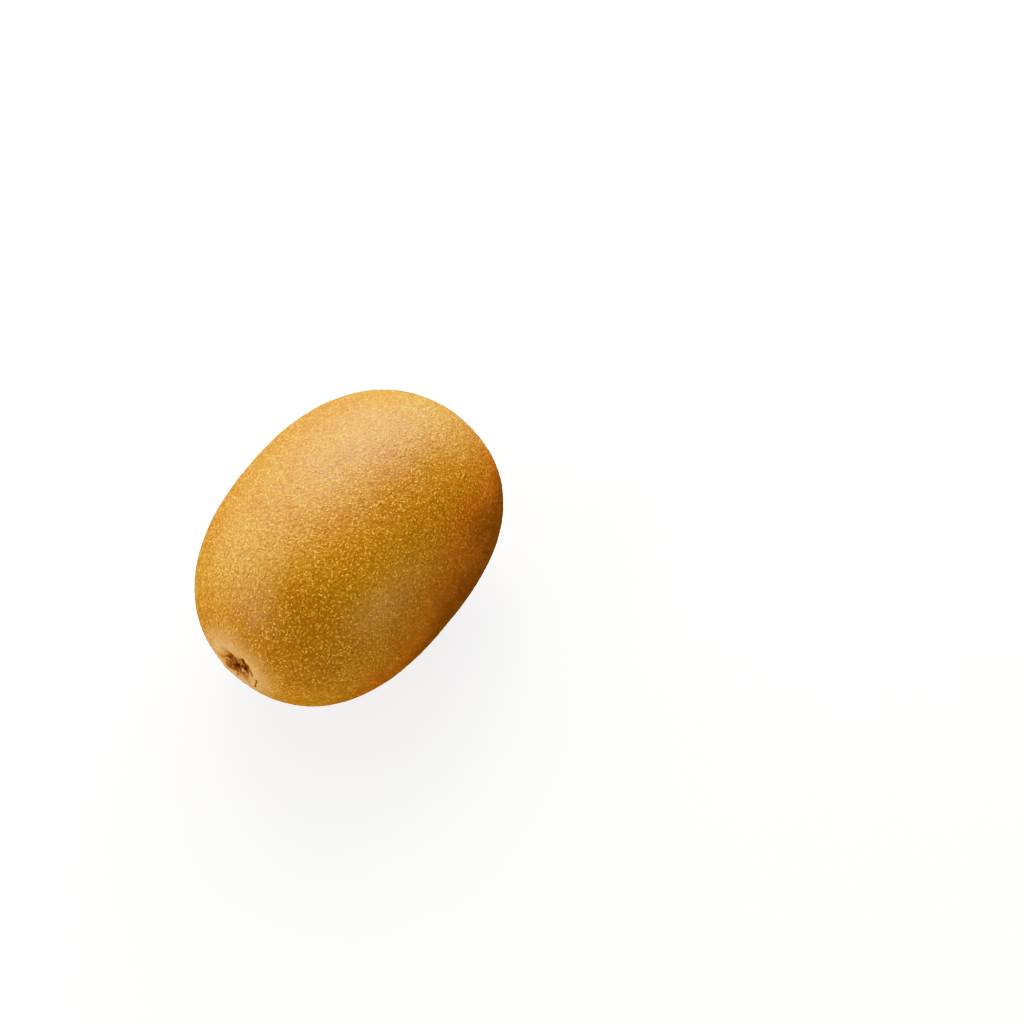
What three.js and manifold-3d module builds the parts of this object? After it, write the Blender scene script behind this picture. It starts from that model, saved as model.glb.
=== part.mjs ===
// A golden kiwi fruit lying on its side, built as the one closed body that it grew as.
// Units are millimetres, +Z is up and the table is the plane z = 0. The long axis runs along X:
// the stem end, with its woody scar and dried sepals, faces -X, and the flower end, with the
// dried styles, faces +X. The origin is on the table, under the middle of the fruit.
import * as THREE from "three";
import { mergeVertices } from "three/addons/utils/BufferGeometryUtils.js";
import Module from "manifold-3d";

const wasm = await Module();
wasm.setup();

// The whole fruit
const LENGTH = 73.4; // along X, before the pits at its two ends are sunk
const WIDTH = 54; // along Y
const HEIGHT = 52.4; // along Z, before the flat spot that it lies on
const FULLNESS = 2.36; // 2 would be an ellipsoid, and more gives blunter ends
const TAPER = 0.012; // the flower end is this share fuller, and the stem end slimmer
const BOW = 0.9; // from the middle to the ends, the axis bows this far towards -Y
const SAG = 0.42; // how far the underside is flattened by the table
const CENTRE_HEIGHT = HEIGHT / 2 - SAG;

// Low swells of the skin: height, waves round the axis, half waves along it, and a phase
const SWELLS = [
  { height: 0.2, around: 2, along: 1, phase: 0.9 },
  { height: 0.16, around: 3, along: 2, phase: 2.3 },
  { height: 0.12, around: 5, along: 1, phase: 4.4 },
];

// The pit at the stem end, its raised rim, its radial folds and the one long crease. The folds
// turn by the twist, in radians, for each millimetre away from the axis.
const STEM_END = {
  side: -1,
  depth: 1.75,
  radius: 4.4,
  rim: 0.3,
  rimRadius: 7.2,
  rimWidth: 2.4,
  foldDepth: 0.24,
  foldRadius: 4.4,
  foldTwist: 0.06,
  folds: [
    { share: 1, count: 5, phase: 0.6 },
    { share: 0.7, count: 8, phase: 2.1 },
    { share: 0.45, count: 13, phase: 4.0 },
  ],
  creaseDepth: 0.55,
  creaseAngle: 3.58,
  creaseWidth: 0.75,
  creaseRadius: 5.2,
};

// The smaller dimple at the flower end
const FLOWER_END = {
  side: 1,
  depth: 0.95,
  radius: 3.4,
  rim: 0.16,
  rimRadius: 5.6,
  rimWidth: 2.0,
  foldDepth: 0.1,
  foldRadius: 3.2,
  foldTwist: -0.05,
  folds: [
    { share: 1, count: 6, phase: 1.4 },
    { share: 0.6, count: 11, phase: 3.3 },
  ],
  creaseDepth: 0,
  creaseAngle: 0,
  creaseWidth: 1,
  creaseRadius: 4,
};

// The woody scar where the stalk broke off, and the five dried sepals round it
const SCAR_RADIUS = 2.3;
const SCAR_THICKNESS = 1.5;
const SCAR_LIFT = 0.1; // its middle stands this far above the floor of the pit
const SEPALS = 5;
const SEPAL_LENGTH = 3.2;
const SEPAL_WIDTH = 2.0;
const SEPAL_THICKNESS = 0.75;
const SEPAL_RING = 2.3; // the distance from the axis to the middle of a sepal
const SEPAL_FLARE = 0.8; // how far a sepal's tip stands off the skin

// The dried styles: a tuft that grows from one small boss and lies splayed in the dimple
const BOSS_RADIUS = 1.5;
const BOSS_THICKNESS = 1.5;
const STYLES = 17;
const STYLE_LENGTH = 2.6;
const STYLE_BASE = 0.42;
const STYLE_TIP = 0.2;
const STYLE_SIDES = 4;

// How finely the skin is faceted
const SECTORS = 72;
const RINGS = 54;
const POLE_CROWDING = 0.55; // 0 spaces the rings evenly, and 1 would gather them at the poles
const SMALL_SIDES = 10;
const SEED = 7;

const SKIN_COLOUR = 0xb4812c;
const SKIN_ROUGHNESS = 0.5;

// A repeatable draw of numbers from 0 to 1
function seededDraw(seed) {
  let state = seed;
  return () => {
    state = (state * 16807) % 2147483647;
    return state / 2147483647;
  };
}

// The height of the swells at a place on the skin
function swell(alongShare, angle) {
  let height = 0;
  for (const wave of SWELLS) {
    const round = Math.cos(wave.around * angle + wave.phase);
    const lengthways = Math.cos((wave.along * Math.PI * alongShare) / 2 + wave.phase);
    height += wave.height * round * lengthways;
  }
  return height;
}

// How far an end's skin is sunk along the axis, at a distance and an angle from the axis
function sunk(end, distance, angle) {
  const bowl = end.depth * Math.exp(-((distance / end.radius) ** 2));
  const rim = end.rim * Math.exp(-(((distance - end.rimRadius) / end.rimWidth) ** 2));
  const reach = (distance / end.foldRadius) ** 2;
  const twisted = angle + end.foldTwist * distance;
  let folds = 0;
  for (const fold of end.folds) folds += fold.share * Math.cos(fold.count * twisted + fold.phase);
  const turn = Math.sin((angle - end.creaseAngle) / 2) * 2;
  const creaseReach = (distance / end.creaseRadius) ** 4;
  const crease =
    end.creaseDepth *
    Math.exp(-(((turn * distance) / end.creaseWidth) ** 2)) *
    creaseReach *
    Math.exp(1 - creaseReach);
  return bowl - rim + end.foldDepth * folds * reach * Math.exp(1 - reach) + crease;
}

// The axis bows sideways a little between the two ends
function bow(alongShare) {
  return -BOW * alongShare * alongShare;
}

// The skin in the direction given by the angle from the stem end and the angle round the axis
function skinPoint(polar, angle) {
  const c = Math.cos(polar);
  const s = Math.sin(polar);
  const reach = (Math.abs(c) ** FULLNESS + Math.abs(s) ** FULLNESS) ** (-1 / FULLNESS);
  const alongShare = -reach * c;
  const girth = reach * s * (1 + TAPER * alongShare);
  const raised = 1 + (swell(alongShare, angle) * s) / (WIDTH / 2);
  const y = (WIDTH / 2) * girth * raised * Math.cos(angle);
  const z = (HEIGHT / 2) * girth * raised * Math.sin(angle);
  const distance = Math.hypot(y, z);
  const end = alongShare < 0 ? STEM_END : FLOWER_END;
  const x = (LENGTH / 2) * alongShare - end.side * sunk(end, distance, angle);
  return new THREE.Vector3(x, y + bow(alongShare), Math.max(z + CENTRE_HEIGHT, 0));
}

// A place on an end's skin, at a distance and an angle from the axis, lifted outwards by lift
function endPoint(end, distance, angle, lift) {
  const across = distance / (WIDTH / 2);
  const alongShare = end.side * (1 - across ** FULLNESS) ** (1 / FULLNESS);
  const x = (LENGTH / 2) * alongShare - end.side * (sunk(end, distance, angle) - lift);
  const y = distance * Math.cos(angle) + bow(alongShare);
  return new THREE.Vector3(x, y, distance * Math.sin(angle) + CENTRE_HEIGHT);
}

// A closed geometry as a solid that can be joined to others
function solidOf(geometry) {
  geometry.deleteAttribute("normal");
  geometry.deleteAttribute("uv");
  const merged = mergeVertices(geometry, 1e-5);
  const vertProperties = new Float32Array(merged.attributes.position.array);
  const triVerts = new Uint32Array(merged.index.array);
  return new wasm.Manifold(new wasm.Mesh({ numProp: 3, vertProperties, triVerts }));
}

// The skin: a ball whose poles are turned to the two ends, with every point put on the fruit
function skinSolid() {
  const ball = new THREE.SphereGeometry(1, SECTORS, RINGS);
  ball.rotateZ(Math.PI / 2);
  ball.deleteAttribute("normal");
  ball.deleteAttribute("uv");
  const skin = mergeVertices(ball, 1e-5);
  const points = skin.attributes.position;
  for (let i = 0; i < points.count; i++) {
    const share = Math.acos(THREE.MathUtils.clamp(-points.getX(i), -1, 1)) / Math.PI;
    const angle = Math.atan2(points.getZ(i), points.getY(i));
    const polar = Math.PI * share - (POLE_CROWDING / 2) * Math.sin(2 * Math.PI * share);
    const p = skinPoint(polar, angle);
    points.setXYZ(i, p.x, p.y, p.z);
  }
  return solidOf(skin);
}

// A low rounded button across an end's axis
function buttonSolid(end, radius, thickness, lift) {
  const button = new THREE.SphereGeometry(1, SMALL_SIDES + 4, SMALL_SIDES - 2);
  button.scale(thickness / 2, radius, radius);
  const place = endPoint(end, 0, 0, lift);
  button.translate(place.x, place.y, place.z);
  return solidOf(button);
}

// A tapered rod from root to tip, with its section turned so that its width lies round the axis
function rodSolid(root, tip, baseWidth, tipWidth, thickness, sides) {
  const along = new THREE.Vector3().subVectors(tip, root);
  const rod = new THREE.CylinderGeometry(tipWidth / 2, baseWidth / 2, along.length(), sides);
  rod.scale(1, 1, thickness / baseWidth);
  const up = along.clone().normalize();
  const flat = new THREE.Vector3(1, 0, 0).cross(up).normalize();
  const out = new THREE.Vector3().crossVectors(flat, up);
  rod.applyMatrix4(new THREE.Matrix4().makeBasis(flat, up, out));
  const middle = new THREE.Vector3().addVectors(root, tip).multiplyScalar(0.5);
  rod.translate(middle.x, middle.y, middle.z);
  return solidOf(rod);
}

// The dried sepals, evenly round the scar, each a little longer or shorter and turned
function sepalSolids() {
  const draw = seededDraw(SEED);
  const solids = [];
  for (let i = 0; i < SEPALS; i++) {
    const angle = (2 * Math.PI * (i + 0.3 * draw())) / SEPALS + 0.5;
    const length = SEPAL_LENGTH * (0.8 + 0.4 * draw());
    const root = endPoint(STEM_END, SEPAL_RING - length / 2, angle, 0);
    const tip = endPoint(STEM_END, SEPAL_RING + length / 2, angle + 0.2 * draw(), SEPAL_FLARE);
    solids.push(rodSolid(root, tip, SEPAL_WIDTH, SEPAL_WIDTH / 2, SEPAL_THICKNESS, 6));
  }
  return solids;
}

// The dried styles, spread round the boss by the golden angle
function styleSolids() {
  const draw = seededDraw(SEED + 1);
  const goldenAngle = Math.PI * (3 - Math.sqrt(5));
  const solids = [];
  for (let i = 0; i < STYLES; i++) {
    const angle = i * goldenAngle;
    const spread = Math.sqrt((i + 0.5) / STYLES);
    const length = STYLE_LENGTH * (0.75 + 0.4 * draw());
    const root = endPoint(FLOWER_END, 0.5 * spread, angle, 0);
    const tip = endPoint(FLOWER_END, 0.5 * spread + length * spread, angle, 1.15 - 0.6 * spread);
    solids.push(rodSolid(root, tip, STYLE_BASE * 2, STYLE_TIP * 2, STYLE_BASE * 2, STYLE_SIDES));
  }
  return solids;
}

// The whole fruit joined in one solid, as a three.js geometry
function fruitGeometry() {
  let fruit = skinSolid();
  fruit = fruit.add(buttonSolid(STEM_END, SCAR_RADIUS, SCAR_THICKNESS, SCAR_LIFT));
  fruit = fruit.add(buttonSolid(FLOWER_END, BOSS_RADIUS, BOSS_THICKNESS, 0));
  for (const solid of [...sepalSolids(), ...styleSolids()]) fruit = fruit.add(solid);
  const mesh = fruit.getMesh();
  const geometry = new THREE.BufferGeometry();
  geometry.setAttribute("position", new THREE.BufferAttribute(mesh.vertProperties, 3));
  geometry.setIndex(new THREE.BufferAttribute(mesh.triVerts, 1));
  geometry.computeVertexNormals();
  return geometry;
}

const kiwi = new THREE.Group();
const material = new THREE.MeshStandardMaterial({
  color: SKIN_COLOUR,
  roughness: SKIN_ROUGHNESS,
  metalness: 0,
});
const fruit = new THREE.Mesh(fruitGeometry(), material);
fruit.name = "kiwi_fruit";
kiwi.add(fruit);

export default kiwi;
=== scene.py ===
import math

import bmesh
import bpy
import numpy as np
from mathutils import Matrix, Vector, kdtree, noise


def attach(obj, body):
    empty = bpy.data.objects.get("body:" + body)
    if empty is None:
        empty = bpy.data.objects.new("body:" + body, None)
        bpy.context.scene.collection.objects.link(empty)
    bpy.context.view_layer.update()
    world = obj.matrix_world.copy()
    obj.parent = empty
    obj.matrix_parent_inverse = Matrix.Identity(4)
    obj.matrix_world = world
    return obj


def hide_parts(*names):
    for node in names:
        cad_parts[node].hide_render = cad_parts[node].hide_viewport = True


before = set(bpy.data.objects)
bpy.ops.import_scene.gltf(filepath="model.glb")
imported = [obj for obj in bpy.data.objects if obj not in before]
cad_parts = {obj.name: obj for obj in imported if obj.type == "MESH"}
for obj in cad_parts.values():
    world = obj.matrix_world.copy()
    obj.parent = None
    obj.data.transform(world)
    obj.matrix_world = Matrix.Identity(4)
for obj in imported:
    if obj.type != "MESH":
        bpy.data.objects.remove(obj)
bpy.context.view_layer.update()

# The skin
# A kiwi fruit grows as one body of soft flesh in a thin, leathery, brown-gold skin. It is blunt at
# both ends, bows a little and lies on a small flat spot. A pit holds the scar at the stem end, -X.
MM = 0.001
LENGTH = 73.4 * MM
WIDTH = 54 * MM
HEIGHT = 52.4 * MM
FULLNESS = 2.36
TAPER = 0.012
BOW = 0.9 * MM
SAG = 0.42 * MM
CENTRE_HEIGHT = HEIGHT / 2 - SAG
SWELLS = [(0.2 * MM, 2, 1, 0.9), (0.16 * MM, 3, 2, 2.3), (0.12 * MM, 5, 1, 4.4)]
STEM_END = {
    "side": -1, "aside": 0.7 * MM, "depth": 1.25 * MM, "radius": 3.6 * MM, "lean": (-0.3, 0.25),
    "rim": 0.06 * MM, "rim_radius": 6.0 * MM, "rim_width": 2.0 * MM,
    "fold_depth": 0.24 * MM, "fold_radius": 3.6 * MM, "fold_twist": 0.06 / MM,
    "folds": [(1, 5, 0.6), (0.7, 8, 2.1), (0.45, 13, 4.0)],
    "crease_depth": 0.16 * MM, "crease_angle": 1.13, "crease_twist": 0.436 / MM,
    "crease_width": 0.6 * MM, "crease_radius": 5.0 * MM,
}
FLOWER_END = {
    "side": 1, "aside": -0.9 * MM, "depth": 0.95 * MM, "radius": 3.4 * MM, "lean": (0, 0),
    "rim": 0.16 * MM, "rim_radius": 5.6 * MM, "rim_width": 2.0 * MM,
    "fold_depth": 0.1 * MM, "fold_radius": 3.2 * MM, "fold_twist": -0.05 / MM,
    "folds": [(1, 6, 1.4), (0.6, 11, 3.3)],
    "crease_depth": 0, "crease_angle": 0, "crease_twist": 0,
    "crease_width": 1 * MM, "crease_radius": 4 * MM,
}
SKIN_SECTORS = 400
SKIN_RINGS = 240
POLE_CROWDING = 0.55
UNDULATIONS = [(0.07 * MM, 9 * MM), (0.03 * MM, 3.2 * MM), (0.014 * MM, 1.3 * MM)]


def swell(along, angle):
    """The height of the low swells, at a share of the half length and an angle round the axis."""
    height = 0
    for tall, around, lengthways, phase in SWELLS:
        lifted = np.cos(lengthways * math.pi * along / 2 + phase)
        height = height + tall * np.cos(around * angle + phase) * lifted
    return height


def sunk(end, y, z):
    """How far an end's skin is sunk along the axis: its pit, raised rim, folds and long crease."""
    side = y - end["aside"]
    distance, angle = np.hypot(side, z), np.arctan2(z, side)
    leaning = end["lean"][0] * side + end["lean"][1] * z
    bowl = (end["depth"] + leaning) * np.exp(-((distance / end["radius"]) ** 2))
    rim = end["rim"] * np.exp(-(((distance - end["rim_radius"]) / end["rim_width"]) ** 2))
    reach = (distance / end["fold_radius"]) ** 2
    twisted = angle + end["fold_twist"] * distance
    folds = sum(share * np.cos(count * twisted + phase) for share, count, phase in end["folds"])
    turn = np.sin((angle - end["crease_angle"] - end["crease_twist"] * distance) / 2) * 2
    crease_reach = (distance / end["crease_radius"]) ** 4
    crease = end["crease_depth"] * np.exp(-((turn * distance / end["crease_width"]) ** 2))
    crease = crease * crease_reach * np.exp(1 - crease_reach)
    return bowl - rim + end["fold_depth"] * folds * reach * np.exp(1 - reach) + crease


def bow(along):
    """The axis bows sideways a little between the two ends."""
    return -BOW * along * along


def skin_places(polar, angle):
    """Places on the skin, from the angle away from the stem end and the angle round the axis."""
    c, s = np.cos(polar), np.sin(polar)
    reach = (np.abs(c) ** FULLNESS + np.abs(s) ** FULLNESS) ** (-1 / FULLNESS)
    along = -reach * c
    girth = reach * s * (1 + TAPER * along)
    raised = 1 + swell(along, angle) * s / (WIDTH / 2)
    y = WIDTH / 2 * girth * raised * np.cos(angle)
    z = HEIGHT / 2 * girth * raised * np.sin(angle)
    y = y + bow(along)
    pits = np.where(along < 0, sunk(STEM_END, y, z), -sunk(FLOWER_END, y, z))
    return np.stack([LENGTH / 2 * along + pits, y, z + CENTRE_HEIGHT], axis=-1)


def shown(name, data):
    """Shows a mesh, a lamp or a camera as an object at the origin."""
    thing = bpy.data.objects.new(name, data)
    bpy.context.scene.collection.objects.link(thing)
    return thing


def mesh_of(name, bm):
    """The mesh that a bmesh makes. The bmesh is used up."""
    mesh = bpy.data.meshes.new(name)
    bm.to_mesh(mesh)
    bm.free()
    return mesh


def new_piece(name, bm):
    """A smooth piece made of a bmesh, with its place in its mesh and its object at the origin."""
    mesh = mesh_of(name, bm)
    mesh.shade_smooth()
    return shown(name, mesh)


def join(bm, part):
    """Adds one bmesh to another. The part is used up."""
    loose = mesh_of("loose", part)
    bm.from_mesh(loose)
    bpy.data.meshes.remove(loose)


def points_of(mesh):
    """A mesh's vertices as an array of places."""
    flat = np.empty(len(mesh.vertices) * 3)
    mesh.vertices.foreach_get("co", flat)
    return flat.reshape(-1, 3)


class Wire:
    """A socket in a material's nodes, so that shader maths reads as plain maths."""

    def __init__(self, tree, socket=None):
        self.tree = tree
        self.socket = socket

    def node(self, kind, settings=(), inputs=(), output=0):
        """Adds any node, makes its settings, fills its sockets and gives one of its outputs."""
        made = self.tree.nodes.new(kind)
        for name, value in dict(settings).items():
            setattr(made, name, value)
        for name, value in dict(inputs).items():
            if isinstance(value, Wire):
                self.tree.links.new(value.socket, made.inputs[name])
            else:
                made.inputs[name].default_value = value
        return Wire(self.tree, made.outputs[output])

    def colour(self, tint):
        """A plain colour among this wire's nodes."""
        made = self.node("ShaderNodeRGB")
        made.socket.default_value = (*tint, 1)
        return made

    def maths(self, operation, *values):
        """Maths with numbers and wires."""
        return self.node("ShaderNodeMath", {"operation": operation}, enumerate(values))

    def vector(self, operation, *values, output=0):
        """Maths with vectors. A length, distance or dot product is output 1."""
        return self.node("ShaderNodeVectorMath", {"operation": operation}, enumerate(values), output)

    def __add__(self, other):
        return self.maths("ADD", self, other)

    def __sub__(self, other):
        return self.maths("SUBTRACT", self, other)

    def __rsub__(self, other):
        return self.maths("SUBTRACT", other, self)

    def __mul__(self, other):
        return self.maths("MULTIPLY", self, other)

    def step(self, low, high, to_low=0.0, to_high=1.0):
        """Goes smoothly from to_low to to_high while this value goes from low to high."""
        return self.node(
            "ShaderNodeMapRange",
            {"interpolation_type": "SMOOTHSTEP"},
            {"Value": self, "From Min": low, "From Max": high, "To Min": to_low, "To Max": to_high},
        )

    def mixed(self, tint, amount):
        """This colour mixed towards a tint by an amount."""
        return self.node("ShaderNodeMix", {"data_type": "RGBA"}, {0: amount, 6: self, 7: (*tint, 1)}, 2)

    def noise(self, size, detail=2.0, roughness=0.5, distortion=0.0):
        """Cloudy noise from 0 to 1, whose features measure about size."""
        values = {
            "Vector": self, "Scale": 1 / size, "Detail": detail,
            "Roughness": roughness, "Distortion": distortion,
        }
        return self.node("ShaderNodeTexNoise", {}, values)

    def cells(self, size, output="Distance"):
        """Distances or colours of scattered cells, whose middles lie about size apart."""
        return self.node("ShaderNodeTexVoronoi", {}, {"Vector": self, "Scale": 1 / size}, output)

    def ragged(self, place, size, depth):
        """This distance made ragged: lobes of about size swing it by up to half the depth."""
        return self + (place.noise(size, 3) - 0.5) * depth

    def length(self):
        """The length of this vector."""
        return self.vector("LENGTH", self, output=1)


def new_material(piece, name, **constants):
    """Gives a piece a new material. Returns its shader and a wire with the object coordinates."""
    material = bpy.data.materials.new(name)
    material.use_nodes = True
    piece.data.materials.append(material)
    tree = material.node_tree
    shader = tree.nodes["Principled BSDF"]
    for socket, value in constants.items():
        shader.inputs[socket.replace("_", " ")].default_value = value
    place = Wire(tree).node("ShaderNodeTexCoord", output="Object")
    return shader, place


def finish_material(shader, **wires):
    """Leads wires to the shader's sockets that vary over the surface."""
    for socket, wire in wires.items():
        wire.tree.links.new(wire.socket, shader.inputs[socket.replace("_", " ")])


def relief(wire, depth, below=None):
    """A bumped normal, on top of any relief below it. Depth is the height of a value of 1."""
    inputs = {"Height": wire, "Distance": depth, "Strength": 1.0}
    if below:
        inputs["Normal"] = below
    return wire.node("ShaderNodeBump", {}, inputs)


bm = bmesh.new()
bmesh.ops.create_grid(bm, x_segments=SKIN_SECTORS, y_segments=SKIN_RINGS, size=1)
flat = np.array([vert.co for vert in bm.verts])
share = (flat[:, 1] + 1) / 2
polar = math.pi * share - POLE_CROWDING / 2 * np.sin(2 * math.pi * share)
places = skin_places(polar, math.pi * flat[:, 0])
outwards = (places - (0, 0, CENTRE_HEIGHT)) / np.array([LENGTH, WIDTH, HEIGHT]) ** 2
outwards /= np.linalg.norm(outwards, axis=1, keepdims=True)
for height, wavelength in UNDULATIONS:
    waves = [noise.noise(Vector(place / wavelength)) for place in places]
    places = places + outwards * height * np.array(waves)[:, None]
places[:, 2] = np.maximum(places[:, 2], 0)
for vert, place in zip(bm.verts, places):
    vert.co = place
bmesh.ops.remove_doubles(bm, verts=bm.verts, dist=0.001 * MM)
skin = new_piece("kiwi_skin", bm)

GOLD = (0.52, 0.21, 0.028)
OLIVE = (0.48, 0.23, 0.026)
BRONZE = (0.44, 0.14, 0.020)
TAN = (0.62, 0.33, 0.085)
# Painted shade: the near flank is painted browner, and a darker brown low down on it. That darker brown
# also tints one brown blotch in the skin.
FLANK_SHADE_BROWN = (0.48, 0.072, 0.006)
SHADE_AND_BLOTCH_BROWN = (0.18, 0.018, 0.004)
BACK_BROWN = (0.27, 0.085, 0.012)
PORE = (0.24, 0.08, 0.008)
SPECK = (0.80, 0.42, 0.09)
PIT_BROWN = (0.27, 0.075, 0.012)
PIT_HALO = (0.72, 0.41, 0.16)
# Painted shade: a dark line along the crease at the stem end.
CREASE_SHADE_BROWN = (0.15, 0.04, 0.006)
STAIN = (0.48, 0.15, 0.012)

# A reach is the two distances between which a tint changes, and a fade also holds its strengths at
# them. An edge is the two values of a pattern between which it sets in. Lobes have a size and a depth.
CLOUDS = [(OLIVE, 13 * MM, 0.65), (BRONZE, 9 * MM, 0.4), (TAN, 4 * MM, 0.22)]
CLOUD_EDGE = (0.46, 0.66)
SIDE_LOBES = (16 * MM, 14 * MM)
PATCH_LOBES = (5 * MM, 7 * MM)
# Two pale tan patches: in part the skin's paler tone, in part a painted sheen of light.
PALE_AND_SHEEN_PATCHES = [(-24 * MM, 8 * MM, 46.6 * MM), (30 * MM, -5 * MM, 40 * MM)]
PALE_AND_SHEEN_FADE = (4 * MM, 15 * MM, 0.6, 0)
BROWN_PATCH = (-29 * MM, -10 * MM, 39 * MM)
BROWN_FADE = (5 * MM, 20 * MM, 0.3, 0)
# Where the painted shade on the near flank, and the darker one low down on it, set in.
SHADED_FLANK_SIDE = (0.28, -0.92, -0.24)
FLANK_SHADE_REACH = (7 * MM, 24 * MM)
UNDER_SHADE_REACH = (19 * MM, 26 * MM)
# Painted shade: the skin goes darker bronze towards the far side's rim.
FAR_SHADE_SIDE = (0.05, 0.945, 0.32)
FAR_SHADE_FADE = (16 * MM, 25 * MM, 0, 0.45)
BACK_SIDE = (0, 0.5, -0.87)
BACK_REACH = (7 * MM, 20 * MM)
BACK_SHARE = 0.85
SKIN_SHADE_SHARE = 0.85
GRAIN = 0.55 * MM
GRAIN_EDGE = (0.32, 0.68)
PORE_SPACING = 1.1 * MM
PORE_EDGE = (0.12, 0.22)
PORE_STRENGTH = 0.75
SPECK_SPACING = 0.85 * MM
SPECK_LEAST = 0.08
SPECK_RANGE = 0.22
SPECK_EDGE = (-0.05, 0.07)
STROKE_SPACING = 1.0 * MM
STROKE_LENGTH = 0.8 * MM
STROKE_EDGE = (0.02, 0.05)
STROKE_BREAK_EDGE = (0.50, 0.58)
STROKE_STRENGTH = 0.8
MARK_WANDER = 0.55 * MM
MARK_HEIGHT = 0.06 * MM
MARK_FADE = (3 * MM, 9 * MM, 0.25, 1)
MARK_STRENGTHS = (0.65, 0.3)
SKIN_ROUGHNESS = 0.36
GRAIN_ROUGHNESS = 0.08
MARK_ROUGHNESS = 0.12
RIPPLE = 0.75 * MM
RIPPLE_HEIGHT = 0.2 * MM
FINE_GRAIN = 0.3 * MM
FINE_HEIGHT = 0.035 * MM

# The tints round the two ends go by the distance from an end's middle. Where a place isn't near that
# end along the fruit, 30 mm is added to the distance, and that keeps the tints off.
ELSEWHERE_FADE = (20 * MM, 26 * MM, 30 * MM, 0)
PIT_LOBES = (1.4 * MM, 2.4 * MM)
PIT_FADE = (2.3 * MM, 3.5 * MM, 1, 0)
HALO_FADE = (4 * MM, 13 * MM, 0.62, 0)
WISP_SIZE = 0.17
WISP_EDGE = (0.45, 0.62)
WISP_FADE = (2.5 * MM, 6.5 * MM, 0.6, 0)
STAIN_PLACE = (0, 3.0 * MM, -0.1 * MM)
STAIN_LOBES = (1.2 * MM, 2 * MM)
STAIN_FADE = (0.8 * MM, 2.4 * MM, 0.95, 0)
CREASE_START = 3.1 * MM
CREASE_END = 5.6 * MM
CREASE_MOUTH = 0.4 * MM
CREASE_LOBES = (0.7 * MM, 0.5 * MM)
CREASE_SHADE_FADE = (0.36 * MM, 0.72 * MM, 0.9, 0)
FLOWER_LOBES = (1.4 * MM, 2 * MM)
FLOWER_STAIN_FADE = (1.8 * MM, 5 * MM, 0.7, 0)


def reach_towards(place, side):
    """How far a place lies from the fruit's middle towards a side, made ragged."""
    reach = place.vector("SUBTRACT", place, (0, 0, CENTRE_HEIGHT))
    return reach.vector("DOT_PRODUCT", reach, side, output=1).ragged(place, *SIDE_LOBES)


def with_painted_shade(colour, place, share):
    """A colour with painted shade, browner over the near flank and darker low down on it. It is also
    darker brown low at the back.
    """
    flank_shade = reach_towards(place, SHADED_FLANK_SIDE)
    colour = colour.mixed(FLANK_SHADE_BROWN, flank_shade.step(*FLANK_SHADE_REACH, 0, share))
    colour = colour.mixed(SHADE_AND_BLOTCH_BROWN, flank_shade.step(*UNDER_SHADE_REACH, 0, share))
    back = reach_towards(place, BACK_SIDE)
    return colour.mixed(BACK_BROWN, back.step(*BACK_REACH, 0, share * BACK_SHARE))


def near_patch(place, middle, fade):
    """How strong a tinted patch is at a place, as it fades from its middle with ragged lobes."""
    distance = place.vector("DISTANCE", place, middle, output=1)
    return distance.ragged(place, *PATCH_LOBES).step(*fade)


def around_end(place, end):
    """Object coordinates across an end's axis, and the distance that its tints go by."""
    across = place.vector("SUBTRACT", place, (0, end["aside"], CENTRE_HEIGHT))
    across = across.vector("MULTIPLY", across, (0, 1, 1))
    near = place.node("ShaderNodeSeparateXYZ", {}, {0: place}) * end["side"]
    return across, across.length() + near.step(*ELSEWHERE_FADE)


def beside_crease(across):
    """The distance from the crease at the stem end, which turns as the mesh's does as it runs."""
    side, up = (across.node("ShaderNodeSeparateXYZ", {}, {0: across}, axis) for axis in "YZ")
    distance = across.length()
    turn = up.maths("ARCTAN2", up, side) - distance * STEM_END["crease_twist"]
    turn = (turn - STEM_END["crease_angle"]) * 0.5
    beside = turn.maths("ABSOLUTE", turn.maths("SINE", turn) * distance * 2)
    past = distance.maths("MAXIMUM", distance - CREASE_END, CREASE_START - distance)
    mouth = distance.step(CREASE_START, CREASE_END, CREASE_MOUTH, 0)
    return beside.maths("MAXIMUM", beside - mouth, past)


def corky_marks(place):
    """Flat specks, some cells of a pattern, and short winding strokes, parts of a contour line."""
    wander = place.node("ShaderNodeTexNoise", {}, {"Vector": place, "Scale": 1 / GRAIN}, "Color")
    wander = wander.vector("SUBTRACT", wander, (0.5,) * 3)
    wandered = wander.vector("MULTIPLY_ADD", wander, (MARK_WANDER,) * 3, place)
    own_colour = wandered.cells(SPECK_SPACING, "Color")
    own_size = own_colour.node("ShaderNodeSeparateColor", {}, {0: own_colour})
    own_size = own_size * SPECK_RANGE + SPECK_LEAST
    specks = (own_size - wandered.cells(SPECK_SPACING)).step(*SPECK_EDGE)
    contour = wandered.noise(STROKE_SPACING, 0) - 0.5
    elsewhere = place.vector("ADD", (4, 2, 9), place)
    broken = elsewhere.noise(STROKE_LENGTH, 1).step(*STROKE_BREAK_EDGE)
    strokes = contour.maths("ABSOLUTE", contour).step(*STROKE_EDGE, 1, 0) * broken
    return specks.maths("MAXIMUM", specks, strokes * STROKE_STRENGTH)


shader, place = new_material(skin, "kiwi_skin", IOR=1.45, Specular_IOR_Level=0.44)
across, stem_distance = around_end(place, STEM_END)
flower_distance = around_end(place, FLOWER_END)[1]
colour = place.colour(GOLD)
for seed, (tint, size, strength) in enumerate(CLOUDS):
    cloud = place.vector("ADD", (3 * seed, seed, 2 * seed), place).noise(size, 3, 0.55)
    colour = colour.mixed(tint, cloud.step(*CLOUD_EDGE) * strength)
flank_shade = reach_towards(place, SHADED_FLANK_SIDE)
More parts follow.
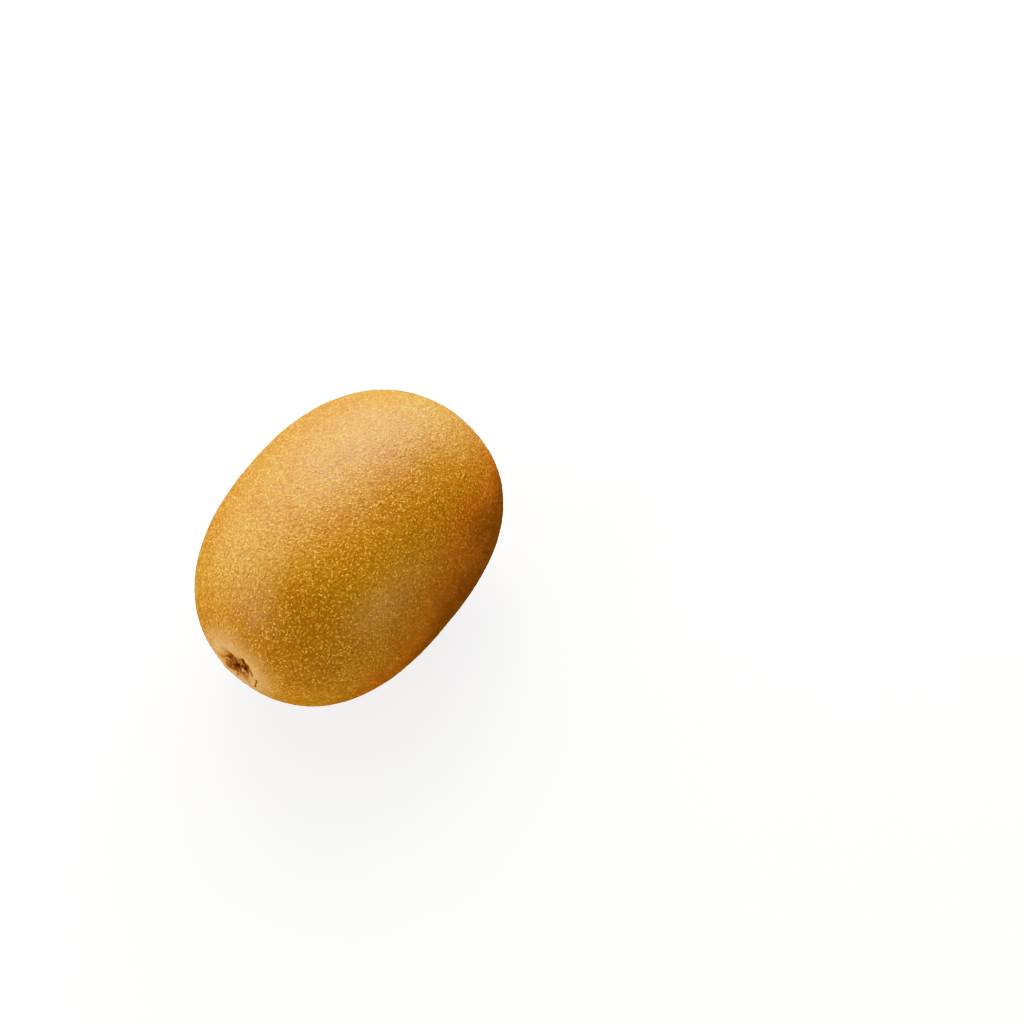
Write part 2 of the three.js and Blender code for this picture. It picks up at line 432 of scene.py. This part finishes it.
# Pale tan patches, in part a painted sheen.
for patch in PALE_AND_SHEEN_PATCHES:
    colour = colour.mixed(TAN, near_patch(place, patch, PALE_AND_SHEEN_FADE))
# A brown blotch in the skin, in the same brown as the painted shade low on the flank.
colour = colour.mixed(SHADE_AND_BLOTCH_BROWN, near_patch(place, BROWN_PATCH, BROWN_FADE))
# Painted shade: darker bronze towards the far side's rim.
colour = colour.mixed(BRONZE, reach_towards(place, FAR_SHADE_SIDE).step(*FAR_SHADE_FADE))
# Painted shade over the near flank and low down on it, and darker brown low at the back.
colour = with_painted_shade(colour, place, SKIN_SHADE_SHARE)
grain = place.noise(GRAIN, 3, 0.7).step(*GRAIN_EDGE)
pores = place.cells(PORE_SPACING).step(*PORE_EDGE, 1, 0)
marks = corky_marks(place) * stem_distance.step(*MARK_FADE)
colour = colour.mixed(PORE, pores.maths("MAXIMUM", 1 - grain, pores) * PORE_STRENGTH)
# The specks are painted fainter where the flank has painted shade.
colour = colour.mixed(SPECK, marks * flank_shade.step(*FLANK_SHADE_REACH, *MARK_STRENGTHS))

pit_distance = stem_distance.ragged(place, *PIT_LOBES)
wisps = across.vector("NORMALIZE", across).noise(WISP_SIZE, 2).step(*WISP_EDGE)
stain_distance = across.vector("DISTANCE", across, STAIN_PLACE, output=1).ragged(place, *STAIN_LOBES)
crease_distance = beside_crease(across).ragged(place, *CREASE_LOBES)
colour = colour.mixed(PIT_HALO, pit_distance.step(*HALO_FADE))
colour = colour.mixed(PIT_BROWN, wisps * pit_distance.step(*WISP_FADE))
colour = colour.mixed(STAIN, stain_distance.step(*STAIN_FADE))
colour = colour.mixed(PIT_BROWN, pit_distance.step(*PIT_FADE))
# Painted shade: a dark line along the crease.
colour = colour.mixed(CREASE_SHADE_BROWN, crease_distance.step(*CREASE_SHADE_FADE))
flower_edge = flower_distance.ragged(place, *FLOWER_LOBES)
colour = colour.mixed(STAIN, flower_edge.step(*FLOWER_STAIN_FADE))

roughness = grain * GRAIN_ROUGHNESS + SKIN_ROUGHNESS + marks * MARK_ROUGHNESS
normal = relief(place.noise(RIPPLE, 2, 0.5, 0.6), RIPPLE_HEIGHT, relief(marks, MARK_HEIGHT))
normal = relief(place.noise(FINE_GRAIN, 2, 0.6), FINE_HEIGHT, normal)
finish_material(shader, Base_Color=colour, Roughness=roughness, Normal=normal)
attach(skin, "root")
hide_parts("kiwi_fruit")

# The lenticels
# All over the skin lie thousands of pale, corky breathing spots, round dots and short dashes up to
# 1.2 mm long. They are a little raised and duller than the skin, and lie in every direction.
LENTICEL_SPACING = 0.62 * MM
LENTICEL_LENGTH = (0.36 * MM, 1.2 * MM)
LENTICEL_WIDTH = (0.27 * MM, 0.42 * MM)
LENTICEL_HEIGHT = (0.05 * MM, 0.10 * MM)
LENTICEL_UNEVENNESS = 0.25
LENTICEL_SHORTNESS = 3
LENTICEL_BEND = 0.4 * MM
LENTICEL_BEND_MIDDLE = 0.4
LENTICEL_SINK = 0.25
LENTICEL_LOWEST = 0.15 * MM
LENTICEL_TRIES = 60000
LENTICEL_LIMIT = 8900
LENTICEL_SHADE_SHARE = 0.6
BARE_END = 3.4 * MM
SPARSE_END = 9 * MM
CORK = (0.74, 0.395, 0.095)
CORK_SHADE = (0.56, 0.25, 0.035)
CORK_CLOUD = 0.9 * MM
CORK_EDGE = (0.35, 0.65)


def scattered(mesh, tries, spacing, draw):
    """Places, and the surface's normals there, scattered over a mesh at least spacing apart."""
    mesh.calc_loop_triangles()
    corners = np.empty(len(mesh.loop_triangles) * 3, int)
    mesh.loop_triangles.foreach_get("vertices", corners)
    corners = corners.reshape(-1, 3)
    points = points_of(mesh)
    normals = np.empty(len(points) * 3)
    mesh.vertices.foreach_get("normal", normals)
    normals = normals.reshape(-1, 3)
    a, b, c = (points[corners[:, i]] for i in range(3))
    area = np.linalg.norm(np.cross(b - a, c - a), axis=1)
    chosen = corners[draw.choice(len(corners), tries, p=area / area.sum())]
    weight = draw.dirichlet((1, 1, 1), tries)[:, :, None]
    spots = (points[chosen] * weight).sum(axis=1)
    facing = (normals[chosen] * weight).sum(axis=1)
    tree = kdtree.KDTree(tries)
    for i, spot in enumerate(spots):
        tree.insert(spot, i)
    tree.balance()
    kept = np.ones(tries, bool)
    for i, spot in enumerate(spots):
        if kept[i]:
            for _, near, _ in tree.find_range(spot, spacing):
                kept[near] = near <= i and kept[near]
    return spots[kept], facing[kept]


def placed_copies(name, template, matrices, draw, unevenness, bends):
    """A piece made of a template's uneven, bent copies, each put in place by its own matrix."""
    points = points_of(template)
    uneven = draw.uniform(1 - unevenness, 1 + unevenness, (len(matrices), len(points), 1))
    shaped = points * uneven
    shaped[:, :, 1] += bends[:, None] * (shaped[:, :, 0] ** 2 - LENTICEL_BEND_MIDDLE)
    padded = np.concatenate([shaped, np.ones_like(uneven)], axis=2)
    moved = np.einsum("nij,nvj->nvi", matrices[:, :3], padded).reshape(-1, 3)
    faces = [tuple(face.vertices) for face in template.polygons]
    shifted = [
        [corner + copy * len(points) for corner in face]
        for copy in range(len(matrices))
        for face in faces
    ]
    mesh = bpy.data.meshes.new(name)
    mesh.from_pydata(moved, [], shifted)
    mesh.shade_smooth()
    return shown(name, mesh)


def standing(spots, facing, turns, sizes):
    """Matrices that stand copies on spots, facing outwards, turned about that way and scaled."""
    matrices = []
    for spot, out, turn, size in zip(spots, facing, turns, sizes):
        upright = Vector(out).to_track_quat("Z", "Y").to_matrix().to_4x4()
        turned = upright @ Matrix.Rotation(turn, 4, "Z") @ Matrix.Diagonal((*size, 1))
        matrices.append(Matrix.Translation(spot) @ turned)
    return np.array(matrices)


draw = np.random.default_rng(11)
bm = bmesh.new()
bmesh.ops.create_uvsphere(bm, u_segments=8, v_segments=4, radius=1)
everything = bm.verts[:] + bm.edges[:] + bm.faces[:]
bmesh.ops.bisect_plane(bm, geom=everything, dist=0.001, plane_no=(0, 0, -1), clear_outer=True)
bmesh.ops.holes_fill(bm, edges=[edge for edge in bm.edges if edge.is_boundary])
bmesh.ops.translate(bm, verts=bm.verts, vec=(0, 0, -LENTICEL_SINK))
dome = mesh_of("dome", bm)

spots, facing = scattered(skin.data, LENTICEL_TRIES, LENTICEL_SPACING, draw)
aside = np.where(spots[:, 0] < 0, STEM_END["aside"], FLOWER_END["aside"])
end_distance = np.hypot(spots[:, 1] - aside, spots[:, 2] - CENTRE_HEIGHT)
density = (end_distance - BARE_END) / (SPARSE_END - BARE_END)
clear = (density > draw.random(len(spots))) & (spots[:, 2] > LENTICEL_LOWEST)
spots, facing = spots[clear][:LENTICEL_LIMIT], facing[clear][:LENTICEL_LIMIT]
count = len(spots)
lengths = LENTICEL_LENGTH[0] + np.diff(LENTICEL_LENGTH) * draw.random(count) ** LENTICEL_SHORTNESS
widths = draw.uniform(*LENTICEL_WIDTH, count)
sizes = np.stack([lengths / 2, widths / 2, draw.uniform(*LENTICEL_HEIGHT, count)], 1)
matrices = standing(spots, facing, draw.uniform(0, math.pi, count), sizes)
bends = draw.uniform(-LENTICEL_BEND, LENTICEL_BEND, count)
bends = bends * lengths / LENTICEL_LENGTH[1] / sizes[:, 1]
halves = {"lenticels_stem_half": spots[:, 0] < 0, "lenticels_flower_half": spots[:, 0] >= 0}
for name, half in halves.items():
    lenticels = placed_copies(name, dome, matrices[half], draw, LENTICEL_UNEVENNESS, bends[half])
    shader, place = new_material(lenticels, name, Roughness=0.7, IOR=1.4)
    cork = place.noise(CORK_CLOUD, 1, 0.5).step(*CORK_EDGE)
    # The lenticels take the same painted shade as the skin on the near flank.
    colour = with_painted_shade(place.colour(CORK).mixed(CORK_SHADE, cork), place, LENTICEL_SHADE_SHARE)
    finish_material(shader, Base_Color=colour)
    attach(lenticels, "root")
    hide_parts("kiwi_fruit")

# The stem scar
# The stalk broke off here and left a woody disc, grown as one with the fruit: a cracked, raised
# rim round the torn ends of the fibres, with a small hollow in the middle.
SCAR_RADIUS = 2.45 * MM
SCAR_THICKNESS = 1.5 * MM
SCAR_LIFT = 0.1 * MM
SCAR_RIM = (0.30 * MM, 0.78, 0.15)
SCAR_HOLLOW = (0.75 * MM, 0.0, 0.34)
SCAR_WAVES = [(0.07, 3, 1), (0.05, 7, 2.5)]
SCAR_CRACKS = [(9, 0.7), (14, 2.0)]
SCAR_CRACK_DEPTH = 0.22 * MM
SCAR_CRACK_WIDTH = 0.16
SCAR_CRACK_WANDER = 0.12
SCAR_GRAIN = 0.10 * MM
SCAR_GRAINS = (7, 19)
SCAR_FIBRE = 0.35 * MM
SCAR_FIBRE_EDGE = (0.38, 0.6)
SCAR_FIBRE_HEIGHT = 0.06 * MM
SCAR_BLOT = 0.5 * MM
SCAR_BLOT_EDGE = (0.5, 0.65)
SCAR_PALE_FADE = (0.9 * MM, 2.0 * MM, 0, 0.6)
SCAR_DARK_FADE = (0.3 * MM, 1.0 * MM, 1, 0)
SCAR_BROWN = (0.27, 0.072, 0.020)
SCAR_DARK = (0.09, 0.022, 0.006)
SCAR_PALE = (0.50, 0.22, 0.12)


def end_places(end, distance, angle, lift):
    """Places over an end's skin, at distances and angles from its middle, lifted outwards."""
    y, z = distance * np.cos(angle) + end["aside"], distance * np.sin(angle)
    off_axis = np.hypot(y - bow(1), z)
    along = end["side"] * (1 - (off_axis / (WIDTH / 2)) ** FULLNESS) ** (1 / FULLNESS)
    x = LENGTH / 2 * along - end["side"] * (sunk(end, y, z) - lift)
    return np.stack(np.broadcast_arrays(x, y, z + CENTRE_HEIGHT), axis=-1)


def ridge(value, middle, width):
    """A smooth bump of height 1 at the middle value."""
    return np.exp(-(((value - middle) / width) ** 2))


def from_middle(place, middle):
    """Object coordinates from the middle of an end, and the distance from its axis."""
    centred = place.vector("SUBTRACT", place, middle.tolist())
    return centred, centred.vector("MULTIPLY", centred, (0, 1, 1)).length()


bm = bmesh.new()
bmesh.ops.create_uvsphere(bm, u_segments=120, v_segments=60, radius=1)
middle = end_places(STEM_END, 0, 0, SCAR_LIFT)
for vert in bm.verts:
    side, up, out = vert.co
    distance, angle = math.hypot(side, up), math.atan2(up, side)
    wavy = 1 + sum(tall * math.cos(waves * angle + phase) for tall, waves, phase in SCAR_WAVES)
    front = max(out, 0) ** 0.5
    rough, fine = (noise.noise(Vector((side, up, out)) * scale) for scale in SCAR_GRAINS)
    height = SCAR_RIM[0] * ridge(distance, *SCAR_RIM[1:])
    height -= SCAR_HOLLOW[0] * ridge(distance, *SCAR_HOLLOW[1:])
    for cracks, phase in SCAR_CRACKS:
        turned = math.sin(cracks * (angle + SCAR_CRACK_WANDER * rough) / 2 + phase)
        height -= SCAR_CRACK_DEPTH * ridge(turned, 0, SCAR_CRACK_WIDTH) * distance
    height += SCAR_GRAIN * rough + SCAR_GRAIN * fine
    reach = SCAR_RADIUS * wavy
    leaning = reach * (STEM_END["lean"][0] * side + STEM_END["lean"][1] * up)
    x = middle[0] - SCAR_THICKNESS / 2 * out - height * front + leaning
    vert.co = (x, middle[1] + reach * side, middle[2] + reach * up)
bmesh.ops.recalc_face_normals(bm, faces=bm.faces)
scar = new_piece("stem_scar", bm)

shader, place = new_material(scar, "scar_wood", Roughness=0.82, IOR=1.4)
centred, spread = from_middle(place, middle)
torn = centred.noise(SCAR_FIBRE, 3, 0.7).step(*SCAR_FIBRE_EDGE)
colour = place.colour(SCAR_BROWN).mixed(SCAR_PALE, torn * spread.step(*SCAR_PALE_FADE))
colour = colour.mixed(SCAR_DARK, spread.step(*SCAR_DARK_FADE))
colour = colour.mixed(SCAR_DARK, centred.noise(SCAR_BLOT, 2).step(*SCAR_BLOT_EDGE))
finish_material(shader, Base_Color=colour, Normal=relief(torn, SCAR_FIBRE_HEIGHT))
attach(scar, "root")
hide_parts("kiwi_fruit")

# The sepals
# Five dried sepals are left round the scar. They are papery, pinkish tan and brown at the root,
# curled along their length, and grew fast to the edge of the scar.
SEPALS = 5
SEPAL_LENGTH = 2.1 * MM
SEPAL_WIDTH = 0.95 * MM
SEPAL_THICKNESS = 0.22 * MM
SEPAL_LENGTH_SHARES = (0.8, 0.4)
SEPAL_START = 0.5
SEPAL_SHIFT = 0.3
SEPAL_LEAN = 0.2
SEPAL_RING = 1.9 * MM
SEPAL_FLARE = 0.3 * MM
SEPAL_STEP = 0.55 * MM
SEPAL_CURL = 0.3 * MM
SEPAL_WRINKLE = 0.13 * MM
SEPAL_TAPER = 0.75
SEPAL_POINT = 1.8
SEPAL_WAVE = 0.12
SEPAL_SWAY = 0.12
SEPAL_VEIN = 0.4 * MM
SEPAL_VEIN_EDGE = (0.35, 0.65)
SEPAL_VEIN_HEIGHT = 0.05 * MM
SEPAL_VEIN_STRENGTH = 0.8
SEPAL_ROOT_FADE = (0.7 * MM, 1.5 * MM, 0.8, 0)
SEPAL_PINK = (0.72, 0.37, 0.21)
SEPAL_TAN = (0.44, 0.19, 0.07)
SEPAL_ROOT = (0.32, 0.10, 0.018)


def seeded_draw(seed):
    """A repeatable draw of numbers from 0 to 1, the same one that laid out the solid's sepals."""
    state = seed
    while True:
        state = state * 16807 % 2147483647
        yield state / 2147483647


turns = seeded_draw(7)
bm = bmesh.new()
for i in range(SEPALS):
    angle = 2 * math.pi * (i + SEPAL_SHIFT * next(turns)) / SEPALS + SEPAL_START
    length = SEPAL_LENGTH * (SEPAL_LENGTH_SHARES[0] + SEPAL_LENGTH_SHARES[1] * next(turns))
    lean = SEPAL_LEAN * next(turns)
    flap = bmesh.new()
    bmesh.ops.create_grid(flap, x_segments=12, y_segments=24, size=1)
    for vert in flap.verts:
        across, along = vert.co.x, (vert.co.y + 1) / 2
        tapered = 1 - SEPAL_TAPER * along ** SEPAL_POINT
        half_width = SEPAL_WIDTH / 2 * tapered * (1 + SEPAL_WAVE * math.sin(9 * along + 2 * i))
        distance = SEPAL_RING + length * (along - 0.5)
        bend = angle + lean * along + SEPAL_SWAY * math.sin(3 * along + i)
        wrinkle = noise.noise(Vector((across * 1.3, along * 3.5, i * 7.3)))
        crumple = noise.noise(Vector((across * 4, along * 9, i * 5.1))) * 0.5
        lift = SEPAL_FLARE * along ** 1.3 + SEPAL_CURL * (across ** 2 - 0.3) * (0.4 + along)
        lift += SEPAL_WRINKLE * (wrinkle + crumple) * 2
        lift += SEPAL_STEP * max(0, 1 - (distance / SCAR_RADIUS) ** 2)
        x, y, z = end_places(STEM_END, distance, bend, lift)
        y -= math.sin(bend) * across * half_width
        z += math.cos(bend) * across * half_width
        vert.co = (x, y, z)
    bmesh.ops.solidify(flap, geom=flap.faces[:], thickness=SEPAL_THICKNESS)
    bmesh.ops.recalc_face_normals(flap, faces=flap.faces)
    join(bm, flap)
sepals = new_piece("sepals", bm)

shader, place = new_material(sepals, "dried_sepal", Roughness=0.62, IOR=1.4)
centred, spread = from_middle(place, middle)
drawn_out = centred.vector("MULTIPLY", centred, (0.3, 1, 1))
veins = drawn_out.noise(SEPAL_VEIN, 3, 0.6).step(*SEPAL_VEIN_EDGE)
colour = place.colour(SEPAL_PINK).mixed(SEPAL_TAN, veins * SEPAL_VEIN_STRENGTH)
colour = colour.mixed(SEPAL_ROOT, spread.step(*SEPAL_ROOT_FADE))
finish_material(shader, Base_Color=colour, Normal=relief(veins, SEPAL_VEIN_HEIGHT))
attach(sepals, "root")
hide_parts("kiwi_fruit")

# The styles
# At the flower end the dried styles stand in a tuft on one small boss: brown, brittle threads that
# spread and bend from the middle. They are what is left of the flower.
STYLES = 34
STYLE_LENGTH = 2.6 * MM
STYLE_LENGTH_SHARES = (0.75, 0.4)
STYLE_HOOK = 0.9
STYLE_BASE = 0.17 * MM
STYLE_TIP = 0.09 * MM
STYLE_ROOT = 0.5 * MM
STYLE_LIFT = 1.15 * MM
STYLE_LIFT_LOST = 0.6 * MM
STYLE_ARC = 0.62
STYLE_ARC_END = 0.93
STYLE_UPRIGHT = 0.8
STYLE_FLAT = 0.6
STYLE_END_SWELLING = 0.7
STYLE_END_MIDDLE = 0.97
STYLE_END_START = 0.93
STYLE_END_LENGTH = 0.07
BOSS_RADIUS = 1.5 * MM
BOSS_THICKNESS = 1.5 * MM
BOSS_GRAINS = [(0.22, 3.5), (0.1, 11)]
STYLE_BROWN = (0.10, 0.040, 0.014)
STYLE_PALE = (0.28, 0.14, 0.06)
STYLE_FIBRE = 0.6 * MM
STYLE_FIBRE_EDGE = (0.4, 0.65)
STYLE_FIBRE_HEIGHT = 0.03 * MM
STYLE_PALE_STRENGTH = 0.8

turns = seeded_draw(8)
bm = bmesh.new()
bmesh.ops.create_uvsphere(bm, u_segments=48, v_segments=24, radius=1)
middle = end_places(FLOWER_END, 0, 0, 0)
for vert in bm.verts:
    side, up, out = vert.co
    rough = 1 + sum(tall * noise.noise(vert.co * scale) for tall, scale in BOSS_GRAINS)
    x = middle[0] + BOSS_THICKNESS / 2 * out * rough
    vert.co = (x, middle[1] + BOSS_RADIUS * side * rough, middle[2] + BOSS_RADIUS * up * rough)
golden_angle = math.pi * (3 - math.sqrt(5))
for i in range(STYLES):
    angle = i * golden_angle
    spread = math.sqrt((i + 0.5) / STYLES)
    length = STYLE_LENGTH * (STYLE_LENGTH_SHARES[0] + STYLE_LENGTH_SHARES[1] * next(turns))
    hook = STYLE_HOOK * (next(turns) - 0.5)
    thread = bmesh.new()
    bmesh.ops.create_grid(thread, x_segments=8, y_segments=14, size=1)
    for vert in thread.verts:
        around, along = math.pi * vert.co.x, (vert.co.y + 1) / 2
        swelling = 1 + STYLE_END_SWELLING * ridge(along, STYLE_END_MIDDLE, STYLE_END_LENGTH)
        at_end = max(0.0, (along - STYLE_END_START) / STYLE_END_LENGTH)
        closed = math.sqrt(max(0.0, 1 - at_end ** 2))
        radius = (STYLE_BASE + (STYLE_TIP - STYLE_BASE) * along) * swelling * closed
        distance = STYLE_ROOT * spread + length * spread * along
        arc = math.sin(along * math.pi * STYLE_ARC) / STYLE_ARC_END
        lift = (STYLE_LIFT - STYLE_LIFT_LOST * spread) * arc
        bend = angle + hook * along ** 2
        core = end_places(FLOWER_END, distance, bend, lift)
        core[1] += radius * -math.sin(bend) * math.cos(around)
        core[2] += radius * math.cos(bend) * math.cos(around)
        core[0] += radius * math.sin(around) * STYLE_UPRIGHT
        core[1] -= radius * math.cos(bend) * math.sin(around) * STYLE_FLAT
        core[2] -= radius * math.sin(bend) * math.sin(around) * STYLE_FLAT
        vert.co = core
    bmesh.ops.remove_doubles(thread, verts=thread.verts, dist=0.0005 * MM)
    bmesh.ops.holes_fill(thread, edges=[edge for edge in thread.edges if edge.is_boundary])
    bmesh.ops.recalc_face_normals(thread, faces=thread.faces)
    join(bm, thread)
styles = new_piece("style_tuft", bm)

shader, place = new_material(styles, "dried_style", Roughness=0.75, IOR=1.4)
fibres = place.noise(STYLE_FIBRE, 3, 0.6).step(*STYLE_FIBRE_EDGE)
colour = place.colour(STYLE_BROWN).mixed(STYLE_PALE, fibres * STYLE_PALE_STRENGTH)
finish_material(shader, Base_Color=colour, Normal=relief(fibres, STYLE_FIBRE_HEIGHT))
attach(styles, "root")
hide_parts("kiwi_fruit")

# The table
# A plain, pale table top with a very faint grain carries the fruit.
TABLE_HALF = 2.0
TABLE_PALE = (0.9, 0.9, 0.9)
TABLE_GREY = (0.86, 0.86, 0.86)
TABLE_GRAIN = 30 * MM

bm = bmesh.new()
bmesh.ops.create_grid(bm, x_segments=4, y_segments=4, size=TABLE_HALF)
table = new_piece("table", bm)
shader, place = new_material(table, "pale_table", Roughness=0.8, Emission_Strength=0.8)
shader.inputs["Emission Color"].default_value = (1, 1, 1, 1)
colour = place.colour(TABLE_PALE).mixed(TABLE_GREY, place.noise(TABLE_GRAIN, 3))
finish_material(shader, Base_Color=colour)
table.visible_glossy = False

# The camera
# A long lens looks steeply down at the fruit from beyond its stem end.
IMAGE = 1024
LENS = 100
SENSOR = 36
AZIMUTH = math.radians(-51.7)
ELEVATION = math.radians(63)
PIXELS_PER_METRE = 4708
MIDDLE_PIXEL = (347.9, 545.4)
focal_pixels = IMAGE * LENS / SENSOR
right = Vector((math.cos(AZIMUTH), math.sin(AZIMUTH), 0))
back = Vector((
    math.sin(AZIMUTH) * math.cos(ELEVATION),
    -math.cos(AZIMUTH) * math.cos(ELEVATION),
    math.sin(ELEVATION),
))
level = Matrix((right, back.cross(right), back)).transposed()
offset = Vector((MIDDLE_PIXEL[0] - IMAGE / 2, IMAGE / 2 - MIDDLE_PIXEL[1], -focal_pixels))
aside = offset.rotation_difference(Vector((0, 0, -1))).to_matrix()
lens = bpy.data.cameras.new("camera")
lens.lens = LENS
lens.sensor_width = SENSOR
camera = shown("camera", lens)
camera.location = Vector((0, 0, CENTRE_HEIGHT)) + back * (offset.length / PIXELS_PER_METRE)
camera.rotation_euler = (level @ aside).to_euler()
bpy.context.scene.camera = camera

# The light
# Soft window light falls from beyond the fruit's far side. A key panel stands there too, with two
# weaker panels at the stem end, and one gives the near flank nothing but a soft sheen. The tones
# are those of a warm photograph.
FRUIT_MIDDLE = Vector((0, 0, CENTRE_HEIGHT))
PANELS = {
    "key": {
        "towards": (0.63, 0.50, 0.60), "away": 0.6, "size": (0.6, 0.3),
        "watts": 3.5, "tint": (1, 1, 1),
    },
    "fill": {
        "towards": (-0.60, -0.74, 0.31), "away": 0.7, "size": (0.3, 0.3),
        "watts": 0.4, "tint": (1, 0.92, 0.80),
    },
    "side": {
        "towards": (-0.88, 0.29, 0.38), "away": 0.7, "size": (0.3, 0.3),
        "watts": 2.1, "tint": (1, 0.95, 0.90),
    },
    "sheen": {
        "towards": (-0.02, -0.955, 0.30), "away": 0.7, "size": (0.25, 0.25),
        "watts": 1.8, "tint": (1, 0.92, 0.86),
    },
}
WINDOW_SIDE = (0.49, 0.71, 0.50)
WINDOW_SPREAD = (0.15, 0.95)
WINDOW_LIGHT = 2.25
ROOM_LIGHT = 0.09
HORIZON = (-0.3, 0.1)
BELOW_HORIZON = 0.2
TONES = [(0, 0), (0.015, 0.007), (0.06, 0.05), (0.2, 0.2), (0.6, 0.61), (1.0, 0.86), (1.6, 1.0)]
BLUE_TONES = [
    (0, 0), (0.018, 0.003), (0.038, 0.010), (0.065, 0.031), (0.12, 0.100), (0.25, 0.25), (1.0, 1.0),
]

for name, panel in PANELS.items():
    light = bpy.data.lights.new(name, "AREA")
    light.shape = "RECTANGLE"
    light.size, light.size_y = panel["size"]
    light.energy = panel["watts"]
    light.color = panel["tint"]
    lamp = shown(name, light)
    direction = Vector(panel["towards"]).normalized()
    lamp.location = FRUIT_MIDDLE + direction * panel["away"]
    lamp.rotation_euler = direction.to_track_quat("Z", "Y").to_euler()
    lamp.visible_diffuse = name != "sheen"

world = bpy.data.worlds.new("studio")
bpy.context.scene.world = world
world.use_nodes = True
backdrop = world.node_tree.nodes["Background"]
towards = Wire(world.node_tree).node("ShaderNodeTexCoord", output="Generated")
windows = towards.vector("DOT_PRODUCT", towards, WINDOW_SIDE, output=1).step(*WINDOW_SPREAD)
rise = towards.node("ShaderNodeSeparateXYZ", {}, {0: towards}, "Z")
brightness = rise.step(*HORIZON, BELOW_HORIZON, 1) * (windows * WINDOW_LIGHT + ROOM_LIGHT)
world.node_tree.links.new(brightness.socket, backdrop.inputs["Strength"])
backdrop.inputs["Color"].default_value = (1, 1, 1, 1)

view = bpy.context.scene.view_settings
view.view_transform = "Standard"
view.use_curve_mapping = True
curves = view.curve_mapping
curves.use_clip = False
for curve, tones in [(curves.curves[3], TONES), (curves.curves[2], BLUE_TONES)]:
    curve.points[-1].location = tones[-1]
    for tone in tones[1:-1]:
        curve.points.new(*tone)
curves.initialize()
curves.update()
